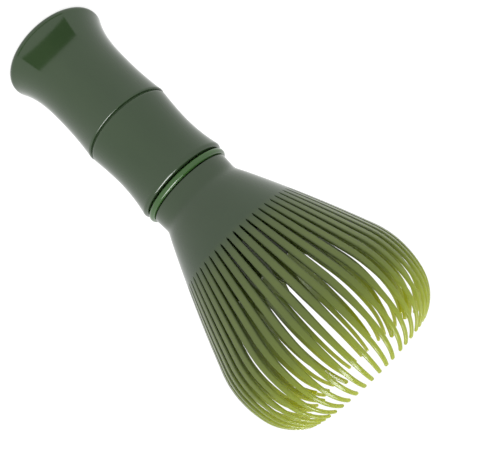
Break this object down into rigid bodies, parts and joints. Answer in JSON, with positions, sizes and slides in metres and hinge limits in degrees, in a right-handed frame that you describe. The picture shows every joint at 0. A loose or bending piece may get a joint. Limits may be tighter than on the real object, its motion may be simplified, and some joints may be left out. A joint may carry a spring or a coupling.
{
  "type": "tea whisk",
  "caption": "Moulded plastic tea whisk with a bamboo-shaped handle, a neck ring, and two nested cups of curved tines held by one threaded stem.",
  "frame": {"origin": "centre of the handle's flared end, on the face that it stands on", "axes": "+Z along the whisk's axis, from the handle's end towards the tine tips"},
  "size_m": [0.0572, 0.0572, 0.12],
  "materials": {
    "handle_plastic": "polished dark matcha green",
    "core_plastic": "dark green, as moulded",
    "ring_plastic": "high gloss green",
    "seal_silicone": "dark green silicone",
    "tine_plastic": "slightly translucent green"
  },
  "bodies": {
    "handle": {"upper_grip": "handle_plastic", "end_cap": "handle_plastic", "lower_grip": "handle_plastic", "threaded_core": "core_plastic"},
    "outer_head": {"outer_tines": "tine_plastic", "neck_ring": "ring_plastic", "seal_rings": "seal_silicone"},
    "inner_head": {"inner_tines": "tine_plastic", "stem_screw": "core_plastic"}
  },
  "joints": [
    {"name": "head_lift", "type": "slide", "parent": "handle", "child": "outer_head", "axis": [0, 0, 1], "range_m": [0, 0.012]},
    {"name": "stem_turn", "type": "hinge", "parent": "outer_head", "child": "inner_head", "pos_m": [0, 0, 0.05755], "axis": [0, 0, 1], "range_deg": [0, 1440]}
  ],
  "couplings": [
    {"joint": "head_lift", "follows": "stem_turn", "m_per_rad": 0.00047746}
  ]
}
